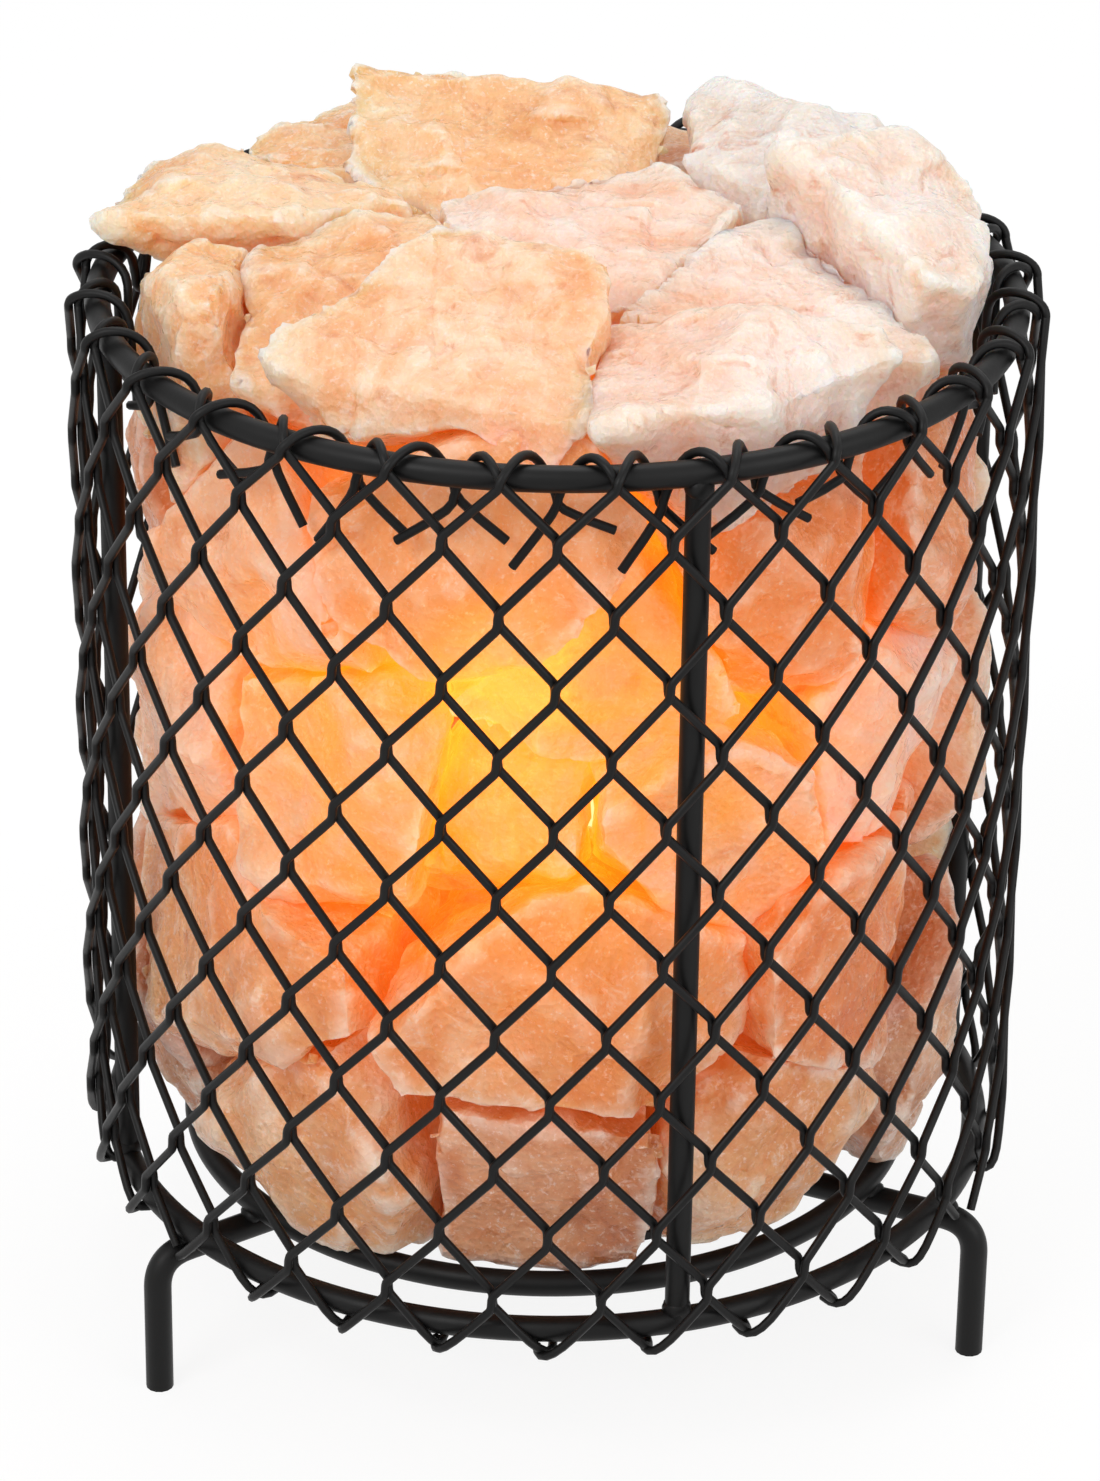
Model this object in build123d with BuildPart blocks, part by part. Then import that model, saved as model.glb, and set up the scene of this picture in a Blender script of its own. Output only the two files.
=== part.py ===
"""Bedside lamp: a wire basket on three legs, heaped with lumps of rock salt around a small bulb.

Millimetres, +Z up. The basket's axis is the Z axis and the feet stand on Z = 0.
Azimuths are in degrees, counted from the front (-Y) towards the right (+X).
"""

import math
import os
from random import Random

from build123d import *

# Basket frame
basket_height = 149.0  # from the bottom ring to the top ring, between centre lines
ring_radius = 73.5  # centre line of the top and bottom rings
inner_ring_inset = 13.5  # from the bottom ring to the ring inside it, between centre lines
ring_rod = 4.2
strut_rod = 4.0
strut_count = 4
strut_azimuth = 17.0
weld_gap = 0.05  # left open between two rods that are welded together

# Legs
foot_height = 29.5  # from the floor to the centre of the bottom ring
leg_rod = 4.6
leg_stand_out = 5.5  # from the rings' centre line out to the feet
leg_bend = 7.0
leg_overlap = 15.0  # of the leg's bar under the base plate
leg_count = 3
leg_azimuth = 66.0
foot_rounding = 0.9

# Wire mesh
wire = 1.5
wire_gap = 0.05  # between the two layers of wires
mesh_gap = 0.25  # between the mesh and the rods inside it
mesh_count = 28  # diamonds around the basket
mesh_azimuth = 6.8  # of one of the lowest crossings
mesh_rows = 11  # half diamonds between the lowest crossing and the highest one below the rim
lowest_crossing = 7.2  # above the bottom ring
highest_crossing = 9.7  # below the top ring
rim_crossing = 0.7  # below the top ring's centre, in front of it
crossing_run = 2.4  # where two crossing wires run side by side
fold_rise = 0.5  # from the top ring's centre to where the loops start
fold_height = 2.8
fold_steps = 4
wire_sides = 4
inside_crossing = 6.0  # below the top ring, behind it
tail_drop = 11.0
tail_swing = 0.85  # of half a diamond
wire_end = 1.9  # below the bottom ring's centre

# Base plate
plate_radius = 46.0
plate_thickness = 1.5
plate_hole_radius = 16.0

# Lamp holder
holder_gap = 0.1  # between the holder's flange and the plate
flange_radius = 21.0
flange_thickness = 2.5
cap_radius = 15.0
cap_depth = 14.0
cap_wall = 2.0
cap_floor = 4.0
cord_bore = 7.0
cord_bore_edge = 0.5
barrel_radius = 12.8
barrel_height = 36.0
spigot_depth = 4.0
spigot_gap = 0.1
barrel_floor = 8.0
wire_hole = 2.4
wire_hole_spacing = 10.0
shell_radius = 7.9
shell_gap = 0.1
shell_wall = 0.35
shell_lip = 1.6
shell_margin = 3.0  # from the shell's edge to the barrel's mouth
contact_radius = 2.6
contact_height = 2.6
contact_gap = 0.2

# Spring clips that hold the lamp holder in the plate
clip_sheet = 0.6
clip_width = 8.0
clip_gap = 0.05
clip_length = 30.0
clip_bulge = 2.6  # past the edge of the plate's hole
clip_clearance = 0.3  # over the plate
clip_return = 1.0  # from the edge of the plate's hole to the clip's end

# Bulb
tip_radius = 2.2
tip_height = 1.4
insulator_height = 3.2
screw_radius = 6.95
screw_length = 19.0
screw_wall = 0.3
bulb_radius = 12.5
bulb_length = 58.0  # glass above the screw cap
glass_wall = 0.7
neck_radius = 6.5
neck_depth = 4.0
neck_rise = 6.0
bulb_rounding = 9.0
stem_height = 18.0
stem_top_radius = 2.4
stem_gap = 0.1
lead = 0.5
lead_spread = 1.4
filament_height = 32.0
filament_half_width = 6.0
filament_dip = 3.0

# Rock salt
wall_clearance = 2.5  # from the rings' centre line to the flats of the salt's sixteen-sided outline
tail_clearance = 6.9  # the same, beside the cut wire ends at the rim
rim_depth = 20.0  # how far the cut ends hang below the top ring
rim_slope = 18.0
base_overhang = 2.0  # of the lowest lumps past the inner ring's centre line
base_slope = 22.0
wall_sides = 16
heap_height = 28.0  # top of the heap above the top ring
heap_overhang = 4.0  # of the heap's box past the flats
salt_gap = 0.4  # between neighbouring lumps
cavity_radius = 21.5  # free space around the holder and bulb
cavity_rise = 4.0  # above the bulb
chips = 7  # broken corners on each lump
chip_least = 0.70
chip_most = 0.86
face_turn = 14.0  # most that a lump's outer face is turned
face_lean = 16.0  # most that it leans

# Lumps below the rim: name, azimuth, distance from the axis and height as shares of the basket,
# and how far the outer face is set back from the wall
lower_lumps = [
    ("salt_bottom_left", -36, 0.66, 0.13, 2),
    ("salt_bottom_front", 0, 0.62, 0.13, 4),
    ("salt_bottom_right", 35, 0.66, 0.12, 2),
    ("salt_bottom_far_right", 78, 0.68, 0.19, 2),
    ("salt_bottom_back_right", 121, 0.66, 0.18, 3),
    ("salt_bottom_back", 166, 0.66, 0.21, 2),
    ("salt_bottom_back_left", -148, 0.66, 0.17, 4),
    ("salt_bottom_far_left", -99, 0.66, 0.22, 3),
    ("salt_low_left", -57, 0.70, 0.33, 3),
    ("salt_low_front", 5, 0.70, 0.36, 2),
    ("salt_low_right", 54, 0.70, 0.37, 4),
    ("salt_mid_far_left", -75, 0.70, 0.56, 3),
    ("salt_mid_left", -37, 0.68, 0.60, 6),
    ("salt_mid_front", -6, 0.58, 0.57, 17),
    ("salt_mid_front_right", 25, 0.64, 0.56, 5),
    ("salt_mid_right", 56, 0.70, 0.60, 3),
    ("salt_mid_far_right", 99, 0.68, 0.51, 2),
    ("salt_mid_back_right", 147, 0.66, 0.55, 4),
    ("salt_mid_back", -163, 0.66, 0.52, 7),
    ("salt_mid_back_left", -116, 0.68, 0.57, 3),
    ("salt_high_left", -46, 0.70, 0.78, 4),
    ("salt_high_front_left", -14, 0.80, 0.90, 2),
    ("salt_high_front", 10, 0.66, 0.75, 13),
    ("salt_high_front_right", 38, 0.72, 0.81, 3),
    ("salt_high_right", 72, 0.72, 0.80, 2),
    ("salt_high_back_right", 118, 0.68, 0.80, 3),
    ("salt_high_back", 168, 0.68, 0.82, 5),
    ("salt_high_back_left", -143, 0.68, 0.79, 2),
    ("salt_high_far_left", -92, 0.70, 0.81, 3),
]

# Lumps of the heap: the same, then the top's share of the heap, the slope and azimuth of its main face,
# and how far its side leans out over the rim
heap_lumps = [
    ("salt_top_back", -170, 0.53, 1.09, 0.82, 24, 165, 0),
    ("salt_top_left", -105, 0.80, 1.03, 0.50, 20, -115, 65),
    ("salt_top_front_left", -21, 0.66, 1.06, 0.90, 42, -10, 0),
    ("salt_top_inner_left", -62, 0.56, 1.03, 0.76, 30, -60, 0),
    ("salt_top_middle", 60, 0.14, 1.06, 0.86, 14, -20, 0),
    ("salt_top_back_right", 126, 0.74, 1.07, 0.68, 20, 150, 0),
    ("salt_top_right", 93, 0.82, 1.05, 0.80, 32, 115, 6),
    ("salt_top_inner_right", 61, 0.50, 1.06, 0.72, 22, 10, 0),
    ("salt_top_front_right", 31, 0.78, 1.03, 0.60, 36, 40, 0),
    ("salt_top_far_left", -76, 0.86, 0.97, 0.36, 40, -70, 0),
    ("salt_top_back_left", -147, 0.84, 0.98, 0.50, 26, -150, 20),
    ("salt_top_far_back", 166, 0.84, 0.97, 0.24, 30, 170, 0),
]

inner_ring_radius = ring_radius - inner_ring_inset
leg_circle = ring_radius + leg_stand_out
leg_inner_end = plate_radius - leg_overlap
salt_reach = ring_radius - wall_clearance
rim_reach = ring_radius - tail_clearance
base_reach = inner_ring_radius + base_overhang
base_z = foot_height
rim_z = base_z + basket_height
seat_z = base_z - ring_rod / 2  # underside of the bottom and inner rings


def polar(azimuth, radius, height):
    """A point at an azimuth counted from the front."""
    angle = math.radians(azimuth)
    return Vector(radius * math.sin(angle), -radius * math.cos(angle), height)


os.makedirs("parts", exist_ok=True)

# Rings
with BuildPart() as top_ring:
    with Locations((0, 0, rim_z)):
        Torus(ring_radius, ring_rod / 2)
top_ring.part.label = "top_ring"
export_step(top_ring.part, "parts/top_ring.step")

with BuildPart() as bottom_ring:
    with Locations((0, 0, base_z)):
        Torus(ring_radius, ring_rod / 2)
bottom_ring.part.label = "bottom_ring"
export_step(bottom_ring.part, "parts/bottom_ring.step")

with BuildPart() as inner_ring:
    with Locations((0, 0, base_z)):
        Torus(inner_ring_radius, ring_rod / 2)
inner_ring.part.label = "inner_ring"
export_step(inner_ring.part, "parts/inner_ring.step")

# Struts, coped at both ends to sit on the rings
with BuildPart() as struts:
    with BuildSketch(Plane.XY.offset(base_z)):
        with PolarLocations(ring_radius, strut_count, start_angle=strut_azimuth - 90):
            Circle(strut_rod / 2)
    extrude(amount=basket_height)
    with Locations((0, 0, base_z), (0, 0, rim_z)):
        Torus(ring_radius, ring_rod / 2 + weld_gap, mode=Mode.SUBTRACT)
struts.part.label = "struts"
export_step(struts.part, "parts/struts.step")

# Legs: a foot, a bend and a bar that carries both rings and the base plate
bar_z = seat_z - weld_gap - leg_rod / 2
with BuildPart() as leg:
    with BuildLine(Plane.XZ):
        FilletPolyline((leg_circle, 0), (leg_circle, bar_z), (leg_inner_end, bar_z), radius=leg_bend)
    with BuildSketch(Plane.XY):
        with Locations((leg_circle, 0)):
            Circle(leg_rod / 2)
    sweep()
    foot_edge = leg.edges().filter_by(GeomType.CIRCLE).sort_by(Axis.Z)[0]
    fillet(foot_edge, radius=foot_rounding)

with BuildPart() as legs:
    with PolarLocations(0, leg_count, start_angle=leg_azimuth - 90):
        add(leg.part)
legs.part.label = "legs"
export_step(legs.part, "parts/legs.step")

# Base plate, with the hole that the lamp holder clips into
with BuildPart() as base_plate:
    with BuildSketch(Plane.XY.offset(seat_z)):
        Circle(plate_radius)
        Circle(plate_hole_radius, mode=Mode.SUBTRACT)
    extrude(amount=plate_thickness)
base_plate.part.label = "base_plate"
export_step(base_plate.part, "parts/base_plate.step")

# Wire mesh: two layers of wires that cross in diamonds and fold over the top ring
half_diamond = 180 / mesh_count
inner_layer = ring_radius + ring_rod / 2 + mesh_gap + wire / 2
outer_layer = inner_layer + wire + wire_gap
row = (basket_height - lowest_crossing - highest_crossing) / mesh_rows
crossings = [base_z + lowest_crossing + row * step for step in range(mesh_rows + 1)]
crossings.append(rim_z - rim_crossing)


def wire_points(radius, turn):
    """The bends of one wire from the bottom ring up, turning one way round the basket."""
    points = []
    below = (lowest_crossing + wire_end - crossing_run / 2) / (row - crossing_run)
    start = -turn * half_diamond * below
    points.append(polar(start, radius, base_z - wire_end))
    for step, height in enumerate(crossings):
        azimuth = turn * half_diamond * step
        points.append(polar(azimuth, radius, height - crossing_run / 2))
        points.append(polar(azimuth, radius, height + crossing_run / 2))
    fold_radius = radius - ring_radius
    last = turn * half_diamond * (len(crossings) - 1)
    inside = last + turn * half_diamond
    for step in range(1, fold_steps + 1):
        angle = math.pi * step / fold_steps
        azimuth = last + turn * half_diamond * step / (fold_steps + 1)
        reach = ring_radius + fold_radius * math.cos(angle)
        points.append(polar(azimuth, reach, rim_z + fold_rise + fold_height * math.sin(angle)))
    inner_reach = ring_radius - fold_radius
    points.append(polar(inside, inner_reach, rim_z - inside_crossing + crossing_run / 2))
    points.append(polar(inside, inner_reach, rim_z - inside_crossing - crossing_run / 2))
    tail = inside + turn * half_diamond * tail_swing
    points.append(polar(tail, inner_reach, rim_z - inside_crossing - crossing_run / 2 - tail_drop))
    return points


def bent_wire(points):
    """One flat-sided wire through its bends."""
    with BuildPart() as strand:
        with BuildLine():
            Polyline(*points)
        ahead = (points[1] - points[0]).normalized()
        outward = Vector(points[0].X, points[0].Y, 0).normalized()
        with BuildSketch(Plane(origin=points[0], x_dir=outward, z_dir=ahead)):
            RegularPolygon(wire / 2, wire_sides)
        sweep(transition=Transition.RIGHT)
    return strand.part


rising_wire = bent_wire(wire_points(outer_layer, 1))
falling_wire = bent_wire(wire_points(inner_layer, -1))

with BuildPart() as mesh_outer:
    with PolarLocations(0, mesh_count, start_angle=mesh_azimuth):
        add(rising_wire)
mesh_outer.part.label = "mesh_outer"
export_step(mesh_outer.part, "parts/mesh_outer.step")

with BuildPart() as mesh_inner:
    with PolarLocations(0, mesh_count, start_angle=mesh_azimuth):
        add(falling_wire)
mesh_inner.part.label = "mesh_inner"
export_step(mesh_inner.part, "parts/mesh_inner.step")

# Lamp holder: a cap under the plate and a barrel through its hole
flange_z = seat_z - holder_gap
cap_bottom = flange_z - cap_depth
barrel_top = flange_z + barrel_height
socket_floor = flange_z + barrel_floor
spigot_radius = cap_radius - cap_wall - spigot_gap

with BuildPart() as holder_cap:
    with BuildSketch(Plane.XZ):
        with BuildLine():
            Polyline(
                (cord_bore / 2, cap_bottom),
                (cap_radius, cap_bottom),
                (cap_radius, flange_z - flange_thickness),
                (flange_radius, flange_z - flange_thickness),
                (flange_radius, flange_z),
                (cap_radius - cap_wall, flange_z),
                (cap_radius - cap_wall, cap_bottom + cap_floor),
                (cord_bore / 2, cap_bottom + cap_floor),
                close=True,
            )
        make_face()
    revolve(axis=Axis.Z)
    bore_edges = holder_cap.edges().filter_by(GeomType.CIRCLE).group_by(SortBy.RADIUS)[0]
    fillet(bore_edges.sort_by(Axis.Z)[0], radius=cord_bore_edge)
holder_cap.part.label = "holder_cap"
export_step(holder_cap.part, "parts/holder_cap.step")

bore_radius = shell_radius + shell_gap
with BuildPart() as holder_barrel:
    with BuildSketch(Plane.XZ):
        with BuildLine():
            Polyline(
                (0, flange_z - spigot_depth),
                (spigot_radius, flange_z - spigot_depth),
                (spigot_radius, flange_z),
                (barrel_radius, flange_z),
                (barrel_radius, barrel_top),
                (bore_radius, barrel_top),
                (bore_radius, socket_floor),
                (0, socket_floor),
                close=True,
            )
        make_face()
    revolve(axis=Axis.Z)
    with BuildSketch(Plane.XY.offset(flange_z - spigot_depth)):
        with GridLocations(0, wire_hole_spacing, 1, 2):
            Circle(wire_hole / 2)
    extrude(amount=spigot_depth + barrel_floor, mode=Mode.SUBTRACT)
holder_barrel.part.label = "holder_barrel"
export_step(holder_barrel.part, "parts/holder_barrel.step")

with BuildPart() as screw_shell:
    with BuildSketch(Plane.XZ):
        with BuildLine():
            Polyline(
                (shell_radius - shell_lip, socket_floor),
                (shell_radius, socket_floor),
                (shell_radius, barrel_top - shell_margin),
                (shell_radius - shell_wall, barrel_top - shell_margin),
                (shell_radius - shell_wall, socket_floor + shell_wall),
                (shell_radius - shell_lip, socket_floor + shell_wall),
                close=True,
            )
        make_face()
    revolve(axis=Axis.Z)
screw_shell.part.label = "screw_shell"
export_step(screw_shell.part, "parts/screw_shell.step")

with BuildPart() as centre_contact:
    with Locations((0, 0, socket_floor)):
        Cylinder(contact_radius, contact_height, align=(Align.CENTER, Align.CENTER, Align.MIN))
    fillet(centre_contact.edges().sort_by(Axis.Z)[-1], radius=contact_height / 4)
centre_contact.part.label = "centre_contact"
export_step(centre_contact.part, "parts/centre_contact.step")

# Spring clips: leaves down both sides of the barrel that bulge out over the plate
leaf = barrel_radius + clip_gap + clip_sheet / 2
bulge = plate_hole_radius + clip_bulge
plate_top = seat_z + plate_thickness
bulge_z = plate_top + clip_clearance + clip_sheet / 2
with BuildPart() as spring_clips:
    with BuildSketch(Plane.XZ):
        with BuildLine():
            Polyline(
                (leaf, flange_z + clip_length),
                (leaf, flange_z + clip_length / 2),
                (bulge, bulge_z + clip_sheet),
                (bulge, bulge_z),
                (plate_hole_radius - clip_return, bulge_z),
            )
        trace(line_width=clip_sheet)
    extrude(amount=clip_width / 2, both=True)
    mirror(about=Plane.YZ)
spring_clips.part.label = "spring_clips"
export_step(spring_clips.part, "parts/spring_clips.step")

# Bulb: contact tip, insulator, screw cap, glass, stem and filament
tip_z = socket_floor + contact_height + contact_gap
insulator_z = tip_z + tip_height
screw_z = insulator_z + insulator_height
glass_z = screw_z + screw_length
bulb_top = glass_z + bulb_length

with BuildPart() as bulb_tip:
    with Locations((0, 0, tip_z)):
        Cylinder(tip_radius, tip_height, align=(Align.CENTER, Align.CENTER, Align.MIN))
    fillet(bulb_tip.edges().sort_by(Axis.Z)[0], radius=tip_height / 2)
bulb_tip.part.label = "bulb_tip"
export_step(bulb_tip.part, "parts/bulb_tip.step")

with BuildPart() as bulb_insulator:
    with BuildSketch(Plane.XY.offset(insulator_z)):
        Circle(tip_radius * 1.3)
    with BuildSketch(Plane.XY.offset(screw_z)):
        Circle(screw_radius - screw_wall)
    loft()
bulb_insulator.part.label = "bulb_insulator"
export_step(bulb_insulator.part, "parts/bulb_insulator.step")

with BuildPart() as bulb_screw:
    with BuildSketch(Plane.XY.offset(screw_z)):
        Circle(screw_radius)
        Circle(screw_radius - screw_wall, mode=Mode.SUBTRACT)
    extrude(amount=screw_length)
bulb_screw.part.label = "bulb_screw"
export_step(bulb_screw.part, "parts/bulb_screw.step")

with BuildPart() as bulb_glass:
    with BuildSketch(Plane.XZ):
        with BuildLine():
            neck_bottom = (neck_radius, glass_z - neck_depth)
            neck_top = (neck_radius, glass_z)
            shoulder = (bulb_radius, glass_z + neck_rise)
            Line(neck_bottom, neck_top)
            Spline(neck_top, shoulder, tangents=((0, 1), (0, 1)))
            Line(shoulder, (bulb_radius, bulb_top - bulb_rounding))
            dome_corner = (bulb_radius - bulb_rounding, bulb_top)
            RadiusArc((bulb_radius, bulb_top - bulb_rounding), dome_corner, -bulb_rounding)
            Line(dome_corner, (0, bulb_top))
            Line((0, bulb_top), (0, bulb_top - glass_wall))
            inner_rounding = bulb_rounding - glass_wall
            inner_corner = (bulb_radius - bulb_rounding, bulb_top - glass_wall)
            inner_side = (bulb_radius - glass_wall, bulb_top - bulb_rounding)
            Line((0, bulb_top - glass_wall), inner_corner)
            RadiusArc(inner_corner, inner_side, inner_rounding)
            inner_shoulder = (bulb_radius - glass_wall, glass_z + neck_rise)
            inner_neck = (neck_radius - glass_wall, glass_z)
            Line(inner_side, inner_shoulder)
            Spline(inner_shoulder, inner_neck, tangents=((0, -1), (0, -1)))
            Line(inner_neck, (neck_radius - glass_wall, glass_z - neck_depth))
            Line((neck_radius - glass_wall, glass_z - neck_depth), neck_bottom)
        make_face()
    revolve(axis=Axis.Z)
bulb_glass.part.label = "bulb_glass"
export_step(bulb_glass.part, "parts/bulb_glass.step")

stem_z = glass_z - neck_depth
stem_foot = neck_radius - glass_wall - stem_gap
with BuildPart() as bulb_stem:
    with Locations((0, 0, stem_z)):
        Cone(stem_foot, stem_top_radius, stem_height, align=(Align.CENTER, Align.CENTER, Align.MIN))
bulb_stem.part.label = "bulb_stem"
export_step(bulb_stem.part, "parts/bulb_stem.step")

lead_z = stem_z + stem_height + stem_gap
with BuildPart() as bulb_filament:
    with BuildLine(Plane.XZ):
        Polyline(
            (-lead_spread, lead_z),
            (-filament_half_width, stem_z + filament_height),
            (0, stem_z + filament_height - filament_dip),
            (filament_half_width, stem_z + filament_height),
            (lead_spread, lead_z),
        )
    with BuildSketch(Plane.XY.offset(lead_z)):
        with Locations((-lead_spread, 0)):
            Rectangle(lead, lead)
    sweep(transition=Transition.RIGHT)
bulb_filament.part.label = "bulb_filament"
export_step(bulb_filament.part, "parts/bulb_filament.step")

# Rock salt: lumps that part from their neighbours along cleavage faces
floor_z = base_z + ring_rod / 2 + salt_gap
heap_z = rim_z + heap_height
cavity_top = bulb_top + cavity_rise
loop_top = rim_z + fold_rise + fold_height + wire
seeds = {}
for name, azimuth, out, up, back in lower_lumps:
    seeds[name] = polar(azimuth, out * salt_reach, base_z + up * basket_height)
for name, azimuth, out, up, top, slope, towards, flare in heap_lumps:
    seeds[name] = polar(azimuth, out * salt_reach, base_z + up * basket_height)


def cleave(lump, origin, normal):
    """Take off what stands beyond a plane, in the lump that is being made."""
    stands = max((corner.center() - origin).dot(normal) for corner in lump.vertices())
    if stands > 0:
        split(bisect_by=Plane(origin=origin, z_dir=normal), keep=Keep.BOTTOM)


def part_from_neighbours(lump, name):
    """Half-way faces between a lump and all the others."""
    seed = seeds[name]
    for other, place in seeds.items():
        if other != name:
            apart = place - seed
            normal = apart.normalized()
            cleave(lump, seed + normal * (apart.length / 2 - salt_gap / 2), normal)


def keep_inside(lump, azimuth, reach, height, slope):
    """Flats beside the wire wall, leaning by a slope about a height."""
    for side in range(wall_sides):
        facing = strut_azimuth + side * 360 / wall_sides
        if math.cos(math.radians(facing - azimuth)) > 0:
            lean = math.radians(slope)
            normal = polar(facing, math.cos(lean), math.sin(lean))
            cleave(lump, polar(facing, reach, height), normal)


def broken_face(lump, name, azimuth, back, number):
    """One outer face set back from the wall, turned and leaning by chance."""
    random = Random(100 + number)
    turn = random.uniform(-face_turn, face_turn)
    lean = math.radians(random.uniform(-face_lean, face_lean))
    normal = polar(azimuth + turn, math.cos(lean), math.sin(lean))
    cleave(lump, polar(azimuth, salt_reach - back, seeds[name].Z), normal)


def chip_corners(lump, name, number):
    """Broken corners, in directions of the lump's own."""
    random = Random(number)
    for chip in range(chips):
        normal = Vector(random.gauss(0, 1), random.gauss(0, 1), random.gauss(0, 1)).normalized()
        stands = max((corner.center() - seeds[name]).dot(normal) for corner in lump.vertices())
        share = random.uniform(chip_least, chip_most)
        cleave(lump, seeds[name] + normal * stands * share, normal)


for number, (name, azimuth, out, up, back) in enumerate(lower_lumps):
    with BuildPart() as lump:
        with Locations((0, 0, floor_z)):
            Box(
                2 * salt_reach,
                2 * salt_reach,
                heap_z - floor_z,
                align=(Align.CENTER, Align.CENTER, Align.MIN),
            )
        part_from_neighbours(lump, name)
        keep_inside(lump, azimuth, salt_reach, rim_z, 0)
        keep_inside(lump, azimuth, rim_reach, rim_z - rim_depth, rim_slope)
        keep_inside(lump, azimuth, base_reach, floor_z, -base_slope)
        cleave(lump, polar(azimuth, cavity_radius, rim_z), polar(azimuth, -1, 0))
        broken_face(lump, name, azimuth, back, number)
        chip_corners(lump, name, number)
    lump.part.label = name
    export_step(lump.part, "parts/" + name + ".step")

for number, (name, azimuth, out, up, top, slope, towards, flare) in enumerate(heap_lumps):
    with BuildPart() as lump:
        with Locations((0, 0, floor_z)):
            Box(
                2 * (salt_reach + heap_overhang),
                2 * (salt_reach + heap_overhang),
                heap_z - floor_z,
                align=(Align.CENTER, Align.CENTER, Align.MIN),
            )
        part_from_neighbours(lump, name)
        keep_inside(lump, azimuth, rim_reach, loop_top, -flare)
        cleave(lump, Vector(0, 0, cavity_top), Vector(0, 0, -1))
        crown = Vector(0, 0, rim_z + top * heap_height)
        cleave(lump, crown, Vector(0, 0, 1))
        lean = math.radians(slope)
        face = polar(towards, math.sin(lean), math.cos(lean))
        above = rim_z + top * heap_height - seeds[name].Z
        cleave(lump, seeds[name] + face * above, face)
        chip_corners(lump, name, number)
    lump.part.label = name
    export_step(lump.part, "parts/" + name + ".step")
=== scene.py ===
"""Finish of a bedside lamp: a black wire basket on three legs, heaped with glowing rock salt."""

import math
from random import Random

import bpy
from mathutils import Matrix, Vector


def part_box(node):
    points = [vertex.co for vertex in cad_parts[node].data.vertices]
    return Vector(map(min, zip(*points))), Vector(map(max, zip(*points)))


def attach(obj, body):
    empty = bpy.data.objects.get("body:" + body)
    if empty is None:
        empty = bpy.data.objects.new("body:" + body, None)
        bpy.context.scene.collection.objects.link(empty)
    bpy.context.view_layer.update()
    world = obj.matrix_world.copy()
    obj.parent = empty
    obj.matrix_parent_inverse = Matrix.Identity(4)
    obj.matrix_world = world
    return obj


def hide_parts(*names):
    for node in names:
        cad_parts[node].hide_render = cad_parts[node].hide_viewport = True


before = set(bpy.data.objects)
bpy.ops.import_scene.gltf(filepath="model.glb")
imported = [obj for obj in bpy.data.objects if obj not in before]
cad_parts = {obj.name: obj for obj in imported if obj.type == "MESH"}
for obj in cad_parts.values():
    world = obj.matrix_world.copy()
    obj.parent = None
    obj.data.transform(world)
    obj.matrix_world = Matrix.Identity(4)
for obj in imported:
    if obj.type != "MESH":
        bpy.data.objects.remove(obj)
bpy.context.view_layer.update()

bl_info = {
    "name": "Salt Basket Lamp",
    "version": (1, 0, 0),
    "blender": (4, 5, 0),
    "location": "View3D > Sidebar > Lamp",
    "description": "Models and finishes a wire-basket bedside lamp filled with rock salt",
    "category": "Object",
}

MM = 0.001
SALT = sorted(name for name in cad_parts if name.startswith("salt_"))
# The painted glow is strongest round the first place, with a painted bright spot at the second, for light
# through a narrow place in the salt
PAINTED_GLOW_CENTRE = (-4 * MM, -30 * MM, 126 * MM)
PAINTED_SPOT_CENTRE = (-7 * MM, -60 * MM, 143 * MM)
# Rows of crossings between the rings
CROSSINGS = 12
# Azimuths in degrees, counted from the front towards the right
LEGS = (66, 186, 306)
FRONT_STRUT = 17
FIRST_CROSSING = 6.8
RING_SEAM = 150


class BasketSizes(bpy.types.PropertyGroup):
    """Sizes of the basket's rods and wires."""

    ring_radius: bpy.props.FloatProperty(
        name="Ring radius",
        description="Centre line of the top and bottom rings",
        default=73.5 * MM,
        unit="LENGTH",
    )
    inner_ring_radius: bpy.props.FloatProperty(
        name="Inner ring radius",
        description="Centre line of the ring under the salt",
        default=60 * MM,
        unit="LENGTH",
    )
    ring_rod: bpy.props.FloatProperty(
        name="Ring rod", description="Diameter of the rings' rod", default=4.2 * MM, unit="LENGTH"
    )
    strut_rod: bpy.props.FloatProperty(
        name="Strut rod", description="Diameter of the upright rods", default=4.0 * MM, unit="LENGTH"
    )
    leg_rod: bpy.props.FloatProperty(
        name="Leg rod", description="Diameter of the bent legs", default=4.6 * MM, unit="LENGTH"
    )
    leg_circle: bpy.props.FloatProperty(
        name="Leg circle", description="From the basket's axis to its feet", default=79 * MM, unit="LENGTH"
    )
    leg_end: bpy.props.FloatProperty(
        name="Leg end",
        description="From the basket's axis to the legs' inner ends",
        default=31 * MM,
        unit="LENGTH",
    )
    base_height: bpy.props.FloatProperty(
        name="Base height",
        description="Centre of the bottom ring above the floor",
        default=29.5 * MM,
        unit="LENGTH",
    )
    rim_height: bpy.props.FloatProperty(
        name="Rim height",
        description="Centre of the top ring above the floor",
        default=178.5 * MM,
        unit="LENGTH",
    )
    wire: bpy.props.FloatProperty(
        name="Mesh wire", description="Diameter of the mesh wire", default=1.5 * MM, unit="LENGTH"
    )
    diamonds: bpy.props.IntProperty(
        name="Diamonds", description="Diamonds of the mesh around the basket", default=28, min=12
    )


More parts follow.
